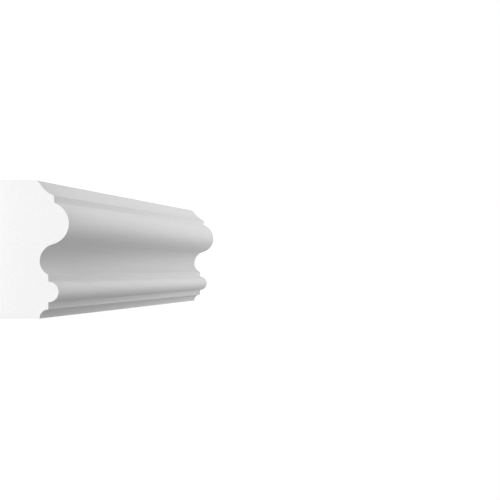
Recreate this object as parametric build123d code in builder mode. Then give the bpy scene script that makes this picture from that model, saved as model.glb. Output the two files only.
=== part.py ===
"""Wall moulding: one straight length of white rigid-foam trim.

From the top edge to the bottom edge the face runs through a cove, a fillet, a torus, a scotia,
a fillet, a bead, a fillet and a second cove. The length lies on its flat back with the face up.
X runs along the length, +Y points to the top edge as mounted, and Z stands out from the back.
The origin is the centre of the back. All sizes are in millimetres.
"""

import os
from math import sqrt

from build123d import *

LENGTH = 2000.0

# The fillets are the narrow flats between the round members.
FILLET_HEIGHT = 2.6

# The upper cove hollows out from the top edge to the upper fillet.
TOP_EDGE_THICKNESS = 13.9
TOP_ARRIS_RADIUS = 3.3
UPPER_COVE_HEIGHT = 5.75
UPPER_COVE_PROJECTION = 5.8
UPPER_COVE_RADIUS = 9.9

# The torus is the large round. It stands out beyond the upper fillet.
TORUS_RADIUS = 7.75
TORUS_OVERHANG = 5.3

# The scotia is the hollow under the torus, struck from two centres on one level.
SCOTIA_UPPER_RADIUS = 6.4
SCOTIA_LOWER_RADIUS = 5.15
SCOTIA_DEPTH = 3.1

# The bead is a half round between the two lower fillets.
LOWER_FILLET_THICKNESS = 17.6
BEAD_RADIUS = 3.7

# The lower cove is a quarter round hollow that ends in a narrow flat at the bottom edge.
LOWER_COVE_RADIUS = 3.1
BOTTOM_FLAT_HEIGHT = 0.2


def half_chord(radius, distance):
    """Half the chord of a circle at this distance from its centre."""
    return sqrt(radius**2 - distance**2)


# Thickness of the stock at each member, measured from the back.
upper_fillet_z = TOP_EDGE_THICKNESS + UPPER_COVE_PROJECTION
torus_crown_z = upper_fillet_z + TORUS_OVERHANG
torus_centre_z = torus_crown_z - TORUS_RADIUS
scotia_z = LOWER_FILLET_THICKNESS - SCOTIA_DEPTH
scotia_upper_centre_z = scotia_z + SCOTIA_UPPER_RADIUS
bead_crown_z = LOWER_FILLET_THICKNESS + BEAD_RADIUS
bottom_edge_z = LOWER_FILLET_THICKNESS - LOWER_COVE_RADIUS

# Heights of the curved members across the face. The torus and the scotia are tangent circles.
torus_rise = half_chord(TORUS_RADIUS, TORUS_RADIUS - TORUS_OVERHANG)
torus_to_scotia = half_chord(TORUS_RADIUS + SCOTIA_UPPER_RADIUS, scotia_upper_centre_z - torus_centre_z)
scotia_fall = half_chord(SCOTIA_LOWER_RADIUS, SCOTIA_LOWER_RADIUS - SCOTIA_DEPTH)
s_curve_height = torus_rise + torus_to_scotia + scotia_fall
lower_members_height = 2 * FILLET_HEIGHT + 2 * BEAD_RADIUS + LOWER_COVE_RADIUS + BOTTOM_FLAT_HEIGHT
face_width = UPPER_COVE_HEIGHT + FILLET_HEIGHT + s_curve_height + lower_members_height

# Levels across the face, from the top edge down.
top_y = face_width / 2
upper_cove_foot_y = top_y - UPPER_COVE_HEIGHT
torus_head_y = upper_cove_foot_y - FILLET_HEIGHT
torus_centre_y = torus_head_y - torus_rise
scotia_y = torus_centre_y - torus_to_scotia
scotia_foot_y = scotia_y - scotia_fall
bead_head_y = scotia_foot_y - FILLET_HEIGHT
bead_crown_y = bead_head_y - BEAD_RADIUS
bead_foot_y = bead_crown_y - BEAD_RADIUS
lower_cove_head_y = bead_foot_y - FILLET_HEIGHT
lower_cove_foot_y = lower_cove_head_y - LOWER_COVE_RADIUS
bottom_y = -face_width / 2

# The torus turns into the scotia on the line between their centres.
torus_centre = Vector(torus_centre_y, torus_centre_z)
scotia_upper_centre = Vector(scotia_y, scotia_upper_centre_z)
torus_share = TORUS_RADIUS / (TORUS_RADIUS + SCOTIA_UPPER_RADIUS)
torus_foot = torus_centre + (scotia_upper_centre - torus_centre) * torus_share

with BuildPart() as moulding:
    with BuildSketch(Plane.YZ) as section:
        with BuildLine():
            back = Line((bottom_y, 0), (top_y, 0))
            top_edge = Line(back @ 1, (top_y, TOP_EDGE_THICKNESS))
            upper_cove = RadiusArc(top_edge @ 1, (upper_cove_foot_y, upper_fillet_z), UPPER_COVE_RADIUS)
            upper_fillet = Line(upper_cove @ 1, (torus_head_y, upper_fillet_z))
            torus = ThreePointArc(upper_fillet @ 1, (torus_centre_y, torus_crown_z), torus_foot)
            scotia_upper = TangentArc(torus @ 1, (scotia_y, scotia_z), tangent=torus % 1)
            scotia_lower = TangentArc(
                scotia_upper @ 1, (scotia_foot_y, LOWER_FILLET_THICKNESS), tangent=scotia_upper % 1
            )
            middle_fillet = Line(scotia_lower @ 1, (bead_head_y, LOWER_FILLET_THICKNESS))
            bead = ThreePointArc(
                middle_fillet @ 1, (bead_crown_y, bead_crown_z), (bead_foot_y, LOWER_FILLET_THICKNESS)
            )
            lower_fillet = Line(bead @ 1, (lower_cove_head_y, LOWER_FILLET_THICKNESS))
            lower_cove = RadiusArc(lower_fillet @ 1, (lower_cove_foot_y, bottom_edge_z), LOWER_COVE_RADIUS)
            bottom_edge = Polyline(lower_cove @ 1, (bottom_y, bottom_edge_z), back @ 0)
        make_face()
        top_arris = section.vertices().sort_by_distance(top_edge @ 1)[0]
        fillet(top_arris, TOP_ARRIS_RADIUS)
    extrude(amount=LENGTH / 2, both=True)

moulding.part.label = "moulding"

os.makedirs("parts", exist_ok=True)
export_step(moulding.part, "parts/moulding.step")
print("face width", round(face_width, 3), "thickness", round(torus_crown_z, 3))
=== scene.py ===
"""Looks of one length of white wall moulding that lies on its back on a pale studio floor.

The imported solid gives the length, the width and the place. Its face is made again here with finely
divided rounds and hollows and softened arrises. Face and edges wear white primer, and the saw-cut
ends and the back show the raw foam.
"""

from math import asin, atan, ceil, copysign, cos, pi, radians, sqrt
from typing import NamedTuple

import bpy
from mathutils import Matrix, Vector


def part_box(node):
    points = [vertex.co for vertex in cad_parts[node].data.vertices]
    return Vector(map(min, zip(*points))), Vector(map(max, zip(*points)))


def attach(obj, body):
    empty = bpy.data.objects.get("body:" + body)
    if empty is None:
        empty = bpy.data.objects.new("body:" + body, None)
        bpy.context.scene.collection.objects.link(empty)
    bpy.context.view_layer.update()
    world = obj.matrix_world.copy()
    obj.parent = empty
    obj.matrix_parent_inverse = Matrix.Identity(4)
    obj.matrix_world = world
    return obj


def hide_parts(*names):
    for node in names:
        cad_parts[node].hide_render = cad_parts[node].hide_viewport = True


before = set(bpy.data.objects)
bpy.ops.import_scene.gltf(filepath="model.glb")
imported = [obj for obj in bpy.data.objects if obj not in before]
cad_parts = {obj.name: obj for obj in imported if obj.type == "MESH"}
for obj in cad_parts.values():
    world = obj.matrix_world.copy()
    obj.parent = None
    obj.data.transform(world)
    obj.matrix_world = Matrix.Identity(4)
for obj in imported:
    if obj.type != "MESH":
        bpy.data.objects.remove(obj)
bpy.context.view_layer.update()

MM = 0.001
NODE = "moulding"
BODY = "root"

# Members of the section: thicknesses from the back, heights across the face and radii
FILLET_HEIGHT = 2.6 * MM
TOP_EDGE_THICKNESS = 13.9 * MM
TOP_ARRIS_RADIUS = 3.3 * MM
UPPER_COVE_HEIGHT = 5.75 * MM
UPPER_COVE_PROJECTION = 5.8 * MM
UPPER_COVE_RADIUS = 9.9 * MM
TORUS_RADIUS = 7.75 * MM
TORUS_OVERHANG = 5.3 * MM
SCOTIA_UPPER_RADIUS = 6.4 * MM
SCOTIA_LOWER_RADIUS = 5.15 * MM
SCOTIA_DEPTH = 3.1 * MM
LOWER_FILLET_THICKNESS = 17.6 * MM
BEAD_RADIUS = 3.7 * MM
LOWER_COVE_RADIUS = 3.1 * MM

# How far a softened arris reaches along each side of its corner, and how finely curves are divided
ARRIS_REACH = 0.18 * MM
ARRIS_STEPS = 5
ARC_STEP = radians(3.5)

# An outward direction that points down at least this far belongs to the back.
BACK_FACING = -0.99

# The length is divided into bands, which lie side by side on the map that finishes are baked to.
BAND_COUNT = 4
MAP_NAME = "OFBake"
MAP_GAP = 6 * MM

# Finishes: sizes of their detail, and tones as shares of the light that the surface gives back
PRIMER_TONES = (0.845, 0.865)
PRIMER_ROUGHNESS = 0.75
PRIMER_GLOSS = 0.2
PRIMER_GRAIN = 0.7 * MM
PRIMER_RELIEF = 0.1 * MM
PRIMER_RELIEF_SHARE = 0.5
PRIMER_CLOUDS = 45 * MM
PRIMER_CLOUDS_DETAIL = 3.0
# The foam's darker tone is painted shade inside the open pores; the paler tone is the cell walls.
FOAM_SHADED_PORE_AND_WALL_TONES = (0.8, 0.87)
FOAM_ROUGHNESS = 0.85
FOAM_CELL = 0.4 * MM
FOAM_RELIEF = 0.05 * MM
FOAM_RELIEF_SHARE = 0.2
FOAM_CLOUDS = 12 * MM

# How far noise moves the roughness of the primer and the tone of the walls between the foam's pores
NOISE_MIDDLE = 0.5
PRIMER_CLOUDS_SHEEN = 0.1
PRIMER_GRAIN_SHEEN = 0.08
FOAM_CLOUDS_TONE = 0.2

# A pore's wall rises between these distances from the middle of its cell, as shares of a cell.
PORE_WALL_START = 0.1
PORE_WALL_END = 0.45

# Camera: a long lens in line with the moulding, rolled so that the top edge is up in the picture.
# Lines along the length run to the vanishing pixel.
PICTURE_PIXELS = 500
VANISHING_PIXEL = Vector((484.8, 266.95))
SENSOR_WIDTH = 36.0
LENS = 750.0
CAMERA_STANDOFF = 3.744
CAMERA_ASIDE = -0.0064
CAMERA_HEIGHT = 0.17456

# Light: even light all round, a low key light in line with the length, a strip beside the top edge,
# a broad light over the far half and a soft box beyond the far end
AMBIENT = 0.272
KEY_TOWARDS = Vector((-0.9969, 0.0764, 0.0177))
KEY_LEVEL = 0.778
KEY_SOFTNESS = radians(1.5)
STRIP_PLACE = Vector((0.1, 0.192, 0.161))
STRIP_AIM = Vector((0.1, 0.0, 0.0))
STRIP_LENGTH = 2.4
STRIP_WIDTH = 0.2
STRIP_WATTS = 1.17
OVERHEAD_PLACE = Vector((0.8, -0.174, 0.985))
OVERHEAD_AIM = Vector((0.8, 0.0, 0.0))
OVERHEAD_LENGTH = 2.2
OVERHEAD_WIDTH = 0.4
OVERHEAD_WATTS = 1.45
BOX_PLACE = Vector((2.3, 0.0, 0.75))
BOX_AIM = Vector((0.3, 0.0, 0.0))
BOX_SIZE = 0.8
BOX_WATTS = 4.59

# Floor: its glow makes up what the even light leaves short of white
FLOOR_REACH = 200.0
FLOOR_TONE = 0.5
FLOOR_GLOW = 1 - FLOOR_TONE * AMBIENT


class Value:
    """A socket of a shader. Arithmetic on values adds Math nodes."""

    def __init__(self, shader, socket):
        self.shader = shader
        self.socket = socket

    def maths(self, operation, first, second):
        """Adds a Math node for one operation on two values or numbers."""
        return self.shader.node("Math", {"operation": operation}, {0: first, 1: second})

    def __add__(self, other):
        return self.maths("ADD", self, other)

    def __radd__(self, other):
        return self.maths("ADD", other, self)

    def __sub__(self, other):
        return self.maths("SUBTRACT", self, other)

    def __rsub__(self, other):
        return self.maths("SUBTRACT", other, self)

    def __mul__(self, other):
        return self.maths("MULTIPLY", self, other)

    def __rmul__(self, other):
        return self.maths("MULTIPLY", other, self)


class Shader:
    """The nodes of one finish, or of the world."""

    # Places of a Mix node's colour sockets, which share their names with its other sockets
    FIRST_COLOUR = 6
    SECOND_COLOUR = 7
    BLENDED_COLOUR = 2

    def __init__(self, owner):
        owner.use_nodes = True
        self.tree = owner.node_tree
        self.tree.nodes.clear()

    def node(self, kind, settings=None, sockets=None, output=0):
        """Adds a node with its settings, then its sockets' values or links, and gives one output."""
        made = self.tree.nodes.new("ShaderNode" + kind)
        for name, setting in (settings or {}).items():
            setattr(made, name, setting)
        for name, given in (sockets or {}).items():
            if isinstance(given, Value):
                self.tree.links.new(given.socket, made.inputs[name])
            else:
                made.inputs[name].default_value = given
        return Value(self, made.outputs[output]) if made.outputs else None

    def blend(self, share, first, second):
        """A colour between two colours."""
        sockets = {"Factor": share, self.FIRST_COLOUR: first, self.SECOND_COLOUR: second}
        return self.node("Mix", {"data_type": "RGBA"}, sockets, self.BLENDED_COLOUR)

    def noise(self, place, grain, detail=2.0):
        """Cloudy noise with lumps of about this size, in metres."""
        sockets = {"Vector": place, "Scale": 1 / grain, "Detail": detail}
        return self.node("TexNoise", None, sockets)

    def seen(self):
        """1 for rays from the camera, straight or by way of gloss or glass, and else 0."""
        kinds = ("Is Camera Ray", "Is Glossy Ray", "Is Transmission Ray")
        straight, by_gloss, by_glass = (self.node("LightPath", output=kind) for kind in kinds)
        return self.node("Clamp", None, {"Value": straight + by_gloss + by_glass})


def grey(tone):
    """A plain grey or white of this tone."""
    return (tone, tone, tone, 1)


def half_chord(radius, distance):
    """Half the chord of a circle at this distance from its centre."""
    return sqrt(max(radius**2 - distance**2, 0))


def arc_centre(start, end, radius):
    """Centre of a circular stretch. A radius above 0 is a round, and one below 0 a hollow."""
    half = (end - start) / 2
    towards_centre = Vector((-half.y, half.x)).normalized() * copysign(1, radius)
    return start + half + towards_centre * half_chord(radius, half.length)


def section_corners(low, high):
    """Corners round the section: place, radius of the stretch to the next corner and arris reach.

    A radius above 0 is a round, one below 0 a hollow, and 0 a straight stretch.
    """
    upper_fillet = TOP_EDGE_THICKNESS + UPPER_COVE_PROJECTION
    cove_head = Vector((high.y, TOP_EDGE_THICKNESS))
    cove_foot = Vector((high.y - UPPER_COVE_HEIGHT, upper_fillet))
    cove_centre = arc_centre(cove_head, cove_foot, -UPPER_COVE_RADIUS)
    arris_gap = UPPER_COVE_RADIUS + TOP_ARRIS_RADIUS
    arris_across = high.y - TOP_ARRIS_RADIUS
    arris_level = cove_centre.y - half_chord(arris_gap, cove_centre.x - arris_across)
    arris_foot = Vector((arris_across, arris_level)).lerp(cove_centre, TOP_ARRIS_RADIUS / arris_gap)

    torus_head = Vector((cove_foot.x - FILLET_HEIGHT, upper_fillet))
    torus_rise = half_chord(TORUS_RADIUS, TORUS_RADIUS - TORUS_OVERHANG)
    torus_centre = torus_head + Vector((-torus_rise, TORUS_OVERHANG - TORUS_RADIUS))
    torus_gap = TORUS_RADIUS + SCOTIA_UPPER_RADIUS
    scotia = LOWER_FILLET_THICKNESS - SCOTIA_DEPTH
    scotia_level = scotia + SCOTIA_UPPER_RADIUS
    scotia_across = torus_centre.x - half_chord(torus_gap, scotia_level - torus_centre.y)
    torus_foot = torus_centre.lerp(Vector((scotia_across, scotia_level)), TORUS_RADIUS / torus_gap)

    scotia_foot = scotia_across - half_chord(SCOTIA_LOWER_RADIUS, SCOTIA_LOWER_RADIUS - SCOTIA_DEPTH)
    bead_head = scotia_foot - FILLET_HEIGHT
    bead_foot = bead_head - 2 * BEAD_RADIUS
    lower_cove_head = bead_foot - FILLET_HEIGHT
    bottom_edge = LOWER_FILLET_THICKNESS - LOWER_COVE_RADIUS

    return [
        (Vector((low.y, low.z)), 0, ARRIS_REACH),
        (Vector((high.y, low.z)), 0, ARRIS_REACH),
        (Vector((high.y, arris_level)), TOP_ARRIS_RADIUS, 0),
        (arris_foot, -UPPER_COVE_RADIUS, 0),
        (cove_foot, 0, ARRIS_REACH),
        (torus_head, TORUS_RADIUS, ARRIS_REACH),
        (torus_foot, -SCOTIA_UPPER_RADIUS, 0),
        (Vector((scotia_across, scotia)), -SCOTIA_LOWER_RADIUS, 0),
        (Vector((scotia_foot, LOWER_FILLET_THICKNESS)), 0, ARRIS_REACH),
        (Vector((bead_head, LOWER_FILLET_THICKNESS)), BEAD_RADIUS, ARRIS_REACH),
        (Vector((bead_foot, LOWER_FILLET_THICKNESS)), 0, ARRIS_REACH),
        (Vector((lower_cove_head, LOWER_FILLET_THICKNESS)), -LOWER_COVE_RADIUS, ARRIS_REACH),
        (Vector((lower_cove_head - LOWER_COVE_RADIUS, bottom_edge)), 0, 0),
        (Vector((low.y, bottom_edge)), 0, ARRIS_REACH),
    ]


def stretch(start, end, radius, start_cut, end_cut):
    """Places and directions along a straight or circular stretch, cut back at both ends."""
    chord = end - start
    if not radius:
        way = chord.normalized()
        return [(start + way * start_cut, way), (end - way * end_cut, way)]
    turn = copysign(1, radius)
    size = abs(radius)
    centre = arc_centre(start, end, radius)
    first = start_cut / size
    last = 2 * asin(min(chord.length / 2 / size, 1)) - end_cut / size
    steps = ceil((last - first) / ARC_STEP)
    found = []
    for step in range(steps + 1):
        angle = first + (last - first) * step / steps
        spoke = Matrix.Rotation(turn * angle, 2) @ (start - centre)
        way = Vector((-spoke.y, spoke.x)).normalized() * turn
        found.append((centre + spoke, way))
    return found


def arris(start, corner, end):
    """Places and directions round a softened corner, without its two ends."""
    found = []
    for step in range(1, ARRIS_STEPS):
        share = step / ARRIS_STEPS
        way = (corner - start).lerp(end - corner, share).normalized()
        found.append((start.lerp(corner, share).lerp(corner.lerp(end, share), share), way))
    return found


def section_outline(corners):
    """Places on the section's outline, in order, with the outward direction at each."""
    runs = []
    for index, (start, radius, reach) in enumerate(corners):
        end, _, end_reach = corners[(index + 1) % len(corners)]
        runs.append(stretch(start, end, radius, reach, end_reach))
    outline = []
    for index, run in enumerate(runs):
        corner, _, reach = corners[index]
        if reach:
            outline += arris(runs[index - 1][-1][0], corner, run[0][0])
            outline += run
        else:
            outline += run[1:]
    return [(place, Vector((way.y, -way.x))) for place, way in outline]


class Face(NamedTuple):
    """One face of the mesh, with the outward direction and the place on the map at each corner."""

    corners: list
    normals: list
    spots: list
    is_raw: bool


def girths(outline):
    """Distance round the outline at each place, and once more at the first after a whole turn."""
    places = [place for place, _ in outline]
    found = [0.0]
    for place, after in zip(places, places[1:] + places[:1]):
        found.append(found[-1] + (after - place).length)
    return found


def band_faces(outline, band, band_length):
    """The faces all round one band of the length."""
    count = len(outline)
    girth = girths(outline)
    near_end = band * count
    far_end = near_end + count
    left, right = MAP_GAP, MAP_GAP + band_length
    bottom = MAP_GAP + band * (girth[-1] + MAP_GAP)
    faces = []
    for index in range(count):
        after = (index + 1) % count
        corners = [near_end + index, near_end + after, far_end + after, far_end + index]
        normals = [(0, *outline[which][1]) for which in (index, after, after, index)]
        lower, upper = bottom + girth[index], bottom + girth[index + 1]
        spots = [(left, lower), (left, upper), (right, upper), (right, lower)]
        is_raw = max(outline[index][1].y, outline[after][1].y) < BACK_FACING
        faces.append(Face(corners, normals, spots, is_raw))
    return faces


def end_face(outline, outward, map_origin):
    """The saw-cut face at the near end, where outward is -1, or at the far end, where it is 1."""
    count = len(outline)
    first = BAND_COUNT * count if outward > 0 else 0
    order = range(count)[::outward]
    corners = [first + index for index in order]
    normals = [(outward, 0, 0)] * count
    spots = [map_origin + outline[index][0] for index in order]
    return Face(corners, normals, spots, True)


def mapped_mesh(places, faces, map_size):
    """A mesh of these faces with their normals and map. Raw faces take the second finish."""
    mesh = bpy.data.meshes.new(NODE + "_length")
    mesh.from_pydata(places, [], [face.corners for face in faces])
    mesh.polygons.foreach_set("material_index", [int(face.is_raw) for face in faces])
    spots = [spot for face in faces for spot in face.spots]
    spot_map = mesh.uv_layers.new(name=MAP_NAME)
    for loop, spot in zip(spot_map.data, spots, strict=True):
        loop.uv = Vector(spot) / map_size
    mesh.shade_smooth()
    mesh.normals_split_custom_set([normal for face in faces for normal in face.normals])
    return mesh


def moulding_piece(low, high):
    """The whole length as one closed mesh. On its map the ends lie beside the bands."""
    outline = section_outline(section_corners(low, high))
    stations = [low.x + (high.x - low.x) * step / BAND_COUNT for step in range(BAND_COUNT + 1)]
    places = [(x, place.x, place.y) for x in stations for place, _ in outline]
    band_length = stations[1] - stations[0]
    faces = []
    for band in range(BAND_COUNT):
        faces += band_faces(outline, band, band_length)
    beside_bands = 2 * MAP_GAP + band_length - low.y
    faces.append(end_face(outline, -1, Vector((beside_bands, MAP_GAP))))
    faces.append(end_face(outline, 1, Vector((beside_bands, 2 * MAP_GAP + high.z))))

    map_width = band_length + high.y - low.y + 3 * MAP_GAP
    map_height = BAND_COUNT * (girths(outline)[-1] + MAP_GAP) + MAP_GAP
    mesh = mapped_mesh(places, faces, max(map_width, map_height))
    piece = bpy.data.objects.new(NODE + "_length", mesh)
    bpy.context.scene.collection.objects.link(piece)
    return piece


def white_primer():
    """Matte white primer: a fine sprayed grain and faint clouds in tone and sheen."""
    finish = bpy.data.materials.new("white_primer")
    shader = Shader(finish)
    place = shader.node("TexCoord", output="Object")
    grain = shader.noise(place, PRIMER_GRAIN)
    clouds = shader.noise(place, PRIMER_CLOUDS, PRIMER_CLOUDS_DETAIL)
    cloud_sheen = (clouds - NOISE_MIDDLE) * PRIMER_CLOUDS_SHEEN
    grain_sheen = (grain - NOISE_MIDDLE) * PRIMER_GRAIN_SHEEN
    bumps = {"Height": grain, "Strength": PRIMER_RELIEF_SHARE, "Distance": PRIMER_RELIEF}
    coat = {
        "Base Color": shader.blend(clouds, *map(grey, PRIMER_TONES)),
        "Roughness": PRIMER_ROUGHNESS + cloud_sheen + grain_sheen,
        "Specular IOR Level": PRIMER_GLOSS,
        "Normal": shader.node("Bump", None, bumps),
    }
    surface = shader.node("BsdfPrincipled", None, coat)
    shader.node("OutputMaterial", None, {"Surface": surface})
    return finish


def raw_foam():
    """Saw-cut rigid foam: closed white cells that show as fine pores, painted darker inside as shade.
    """
    finish = bpy.data.materials.new("raw_foam")
    shader = Shader(finish)
    place = shader.node("TexCoord", output="Object")
    cells = shader.node("TexVoronoi", None, {"Vector": place, "Scale": 1 / FOAM_CELL})
    clouds = shader.noise(place, FOAM_CLOUDS)
    rise = {"Value": cells, "From Min": PORE_WALL_START, "From Max": PORE_WALL_END}
    wall_height_and_pore_shade = shader.node("MapRange", {"interpolation_type": "SMOOTHSTEP"}, rise)
    # Towards a pore's middle the tone is painted darker, as shade in the open cell; the same mask is
    # the walls' height.
    paleness = 1 + (clouds - NOISE_MIDDLE) * FOAM_CLOUDS_TONE
    bumps = {"Height": wall_height_and_pore_shade, "Strength": FOAM_RELIEF_SHARE, "Distance": FOAM_RELIEF}
    cut = {
        "Base Color": shader.blend(wall_height_and_pore_shade * paleness, *map(grey, FOAM_SHADED_PORE_AND_WALL_TONES)),
        "Roughness": FOAM_ROUGHNESS,
        "Normal": shader.node("Bump", None, bumps),
    }
    surface = shader.node("BsdfPrincipled", None, cut)
    shader.node("OutputMaterial", None, {"Surface": surface})
    return finish


def pale_floor():
    """A pale floor that also glows to the camera: white in the open, with a soft shadow."""
    finish = bpy.data.materials.new("pale_floor")
    # The glow is for the camera alone, so it isn't sampled as a lamp.
    finish.cycles.emission_sampling = "NONE"
    shader = Shader(finish)
    seen = shader.seen()
    plain = shader.node("BsdfDiffuse", None, {"Color": grey(FLOOR_TONE)})
    glow = shader.node("Emission", None, {"Color": grey(1), "Strength": FLOOR_GLOW})
    paper = shader.node("AddShader", None, {0: plain, 1: glow})
    surface = shader.node("MixShader", None, {"Fac": seen, 1: plain, 2: paper})
    shader.node("OutputMaterial", None, {"Surface": surface})
    return finish


def studio_world():
    """Even light all round, shown to the camera as white."""
    world = bpy.data.worlds.new("studio")
    shader = Shader(world)
    level = AMBIENT + shader.seen() * (1 - AMBIENT)
    sky = shader.node("Background", None, {"Color": grey(1), "Strength": level})
    shader.node("OutputWorld", None, {"Surface": sky})
    bpy.context.scene.world = world


def studio_floor(level):
    """A wide flat floor just under the part."""
    mesh = bpy.data.meshes.new("floor")
    sides = ((-1, -1), (1, -1), (1, 1), (-1, 1))
    corners = [(x * FLOOR_REACH, y * FLOOR_REACH, level) for x, y in sides]
    mesh.from_pydata(corners, [], [(0, 1, 2, 3)])
    floor = bpy.data.objects.new("floor", mesh)
    bpy.context.scene.collection.objects.link(floor)
    mesh.materials.append(pale_floor())


def studio_light(lamp, place, towards):
    """Puts a lamp in the studio. The direction points from what it lights to the lamp."""
    light = bpy.data.objects.new(lamp.name, lamp)
    light.location = place
    light.rotation_mode = "QUATERNION"
    light.rotation_quaternion = towards.to_track_quat("Z", "Y")
    light.visible_camera = False
    bpy.context.scene.collection.objects.link(light)


def key_light():
    """A far light that is low behind the near end, a little to the side of the top edge."""
    lamp = bpy.data.lights.new("key", "SUN")
    lamp.energy = KEY_LEVEL * pi
    lamp.angle = KEY_SOFTNESS
    studio_light(lamp, KEY_TOWARDS, KEY_TOWARDS)


def soft_light(name, watts, size, place, aim):
    """A flat soft lamp of this length and width that faces the aim."""
    lamp = bpy.data.lights.new(name, "AREA")
    lamp.shape = "RECTANGLE"
    lamp.size, lamp.size_y = size
    lamp.energy = watts
    studio_light(lamp, place, place - aim)


def studio_camera(near_end):
    """A long lens that looks down the length from the near cut end."""
    lens = bpy.data.cameras.new("camera")
    lens.sensor_width = SENSOR_WIDTH
    lens.lens = LENS
    focal_pixels = PICTURE_PIXELS * LENS / SENSOR_WIDTH
    offset = VANISHING_PIXEL - Vector((PICTURE_PIXELS, PICTURE_PIXELS)) / 2
    pitch = atan(offset.y / focal_pixels)
    yaw = atan(offset.x * cos(pitch) / focal_pixels)
    # The view runs along +X, with +Z to the right in the picture and +Y up.
    rolled = Matrix(((0, 0, -1, 0), (0, 1, 0, 0), (1, 0, 0, 0), (0, 0, 0, 1)))
    camera = bpy.data.objects.new("camera", lens)
    place = Vector((near_end - CAMERA_STANDOFF, CAMERA_ASIDE, CAMERA_HEIGHT))
    turned = rolled @ Matrix.Rotation(yaw, 4, "Y") @ Matrix.Rotation(pitch, 4, "X")
    camera.matrix_world = Matrix.Translation(place) @ turned
    bpy.context.scene.collection.objects.link(camera)
    bpy.context.scene.camera = camera


low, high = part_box(NODE)
length = moulding_piece(low, high)
length.data.materials.append(white_primer())
length.data.materials.append(raw_foam())
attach(length, BODY)
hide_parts(NODE)

studio_floor(low.z)
studio_world()
key_light()
soft_light("strip", STRIP_WATTS, (STRIP_LENGTH, STRIP_WIDTH), STRIP_PLACE, STRIP_AIM)
soft_light("overhead", OVERHEAD_WATTS, (OVERHEAD_LENGTH, OVERHEAD_WIDTH), OVERHEAD_PLACE, OVERHEAD_AIM)
soft_light("soft_box", BOX_WATTS, (BOX_SIZE, BOX_SIZE), BOX_PLACE, BOX_AIM)
studio_camera(low.x)
bpy.context.scene.view_settings.view_transform = "Standard"
